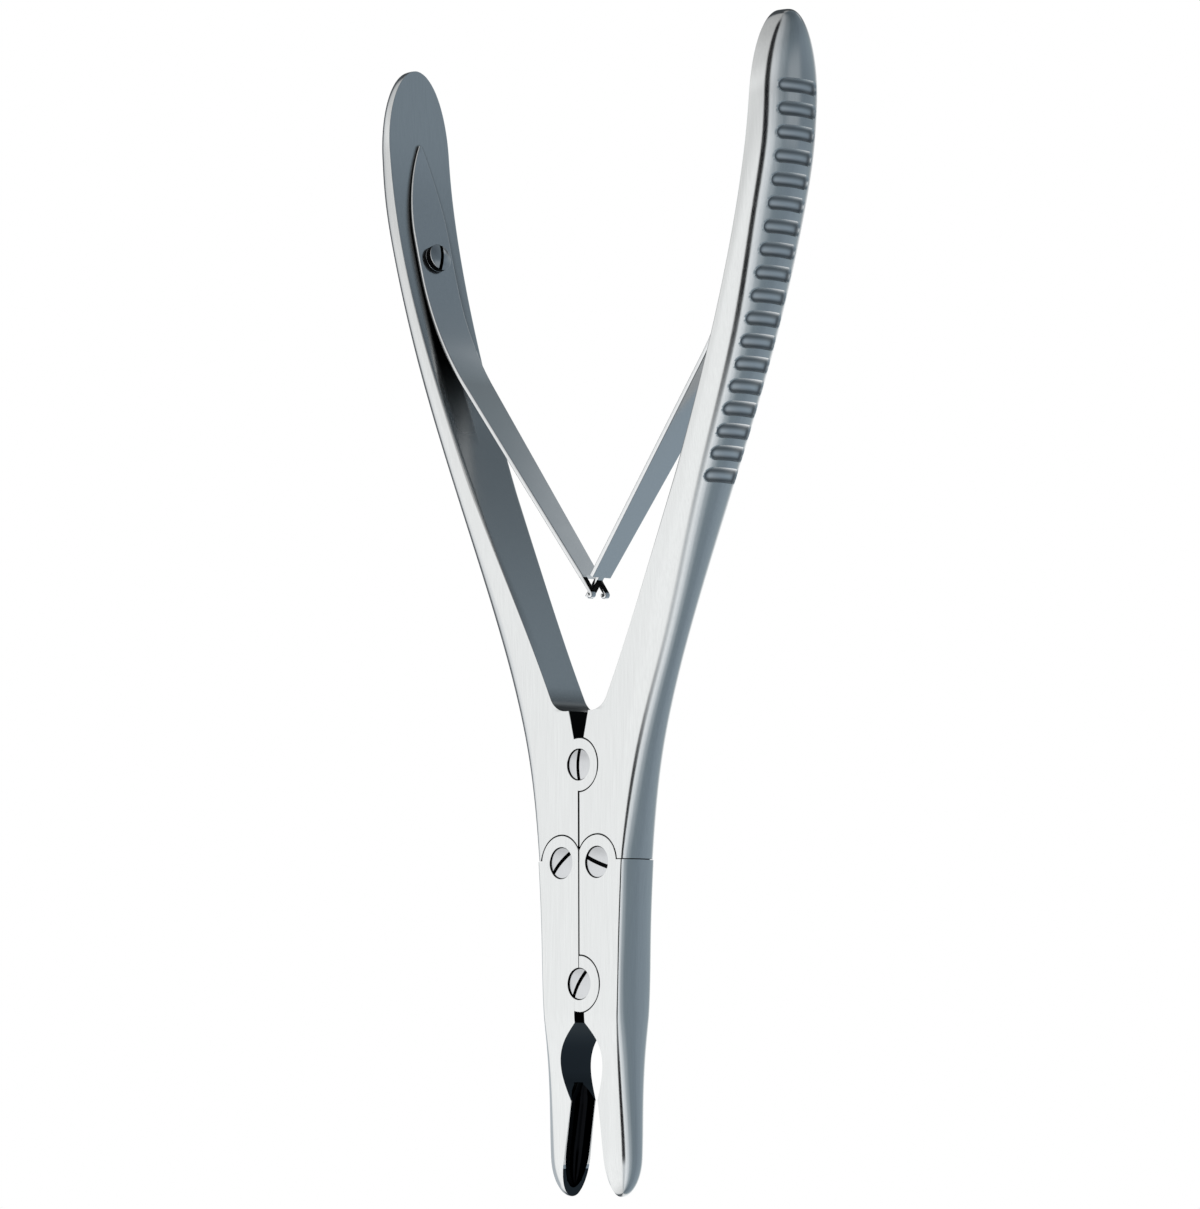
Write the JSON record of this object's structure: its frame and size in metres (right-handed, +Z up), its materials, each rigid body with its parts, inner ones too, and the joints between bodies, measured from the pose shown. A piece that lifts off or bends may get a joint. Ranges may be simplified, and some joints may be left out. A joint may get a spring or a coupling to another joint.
{
  "type": "bone rongeur",
  "caption": "Double-action bone rongeur with cup-shaped biting jaws, grooved handles, slotted pivot screws and interlocking leaf springs.",
  "frame": {"origin": "centre of the bounding box in plan, at the lowest points of the grips, on which the instrument lies", "axes": "X is across the handles, +Y runs along the instrument from the jaws to the handle ends, +Z is up through its thickness, out of the face that shows the screw heads"},
  "size_m": [0.1112, 0.224, 0.0164],
  "materials": {
    "handle_steel": "satin polished stainless steel",
    "jaw_steel": "satin polished stainless steel",
    "screw_steel": "bright turned stainless steel",
    "spring_steel": "brushed spring steel"
  },
  "bodies": {
    "left_handle": {"left_handle": "handle_steel", "handle_pivot_screw": "screw_steel", "left_spring_foot": "spring_steel", "left_spring_screw": "screw_steel"},
    "right_handle": {"right_handle": "handle_steel", "right_spring_foot": "spring_steel", "right_spring_screw": "screw_steel"},
    "left_jaw": {"left_jaw": "jaw_steel", "left_link_screw": "screw_steel", "jaw_pivot_screw": "screw_steel"},
    "right_jaw": {"right_jaw": "jaw_steel", "right_link_screw": "screw_steel"},
    "left_spring_arm": {"left_spring_arm": "spring_steel"},
    "right_spring_arm": {"right_spring_arm": "spring_steel"}
  },
  "joints": [
    {"name": "handle_squeeze", "type": "hinge", "parent": "left_handle", "child": "right_handle", "pos_m": [0, -0.0291, 0.0082], "axis": [0, 0, 1], "range_deg": [0, 22.5], "stiffness_Nm_per_rad": 0.8, "springref_deg": -34.38},
    {"name": "left_jaw_turn", "type": "hinge", "parent": "left_handle", "child": "left_jaw", "pos_m": [-0.00484, -0.04796, 0.0082], "axis": [0, 0, 1], "range_deg": [0, 20.26]},
    {"name": "right_jaw_turn", "type": "hinge", "parent": "right_handle", "child": "right_jaw", "pos_m": [0.00484, -0.04796, 0.0082], "axis": [0, 0, 1], "range_deg": [-20.26, 0]},
    {"name": "left_spring_flex", "type": "hinge", "parent": "left_handle", "child": "left_spring_arm", "pos_m": [-0.03758, 0.05448, 0.0082], "axis": [0, 0, 1], "range_deg": [-6.84, 0]},
    {"name": "right_spring_flex", "type": "hinge", "parent": "right_handle", "child": "right_spring_arm", "pos_m": [0.03758, 0.05448, 0.0082], "axis": [0, 0, 1], "range_deg": [0, 6.84]}
  ],
  "couplings": [
    {"joint": "left_jaw_turn", "follows": "handle_squeeze", "ratio": 0.89994},
    {"joint": "right_jaw_turn", "follows": "handle_squeeze", "ratio": -0.89994},
    {"joint": "left_spring_flex", "follows": "handle_squeeze", "ratio": -0.30368},
    {"joint": "right_spring_flex", "follows": "handle_squeeze", "ratio": 0.30368}
  ]
}
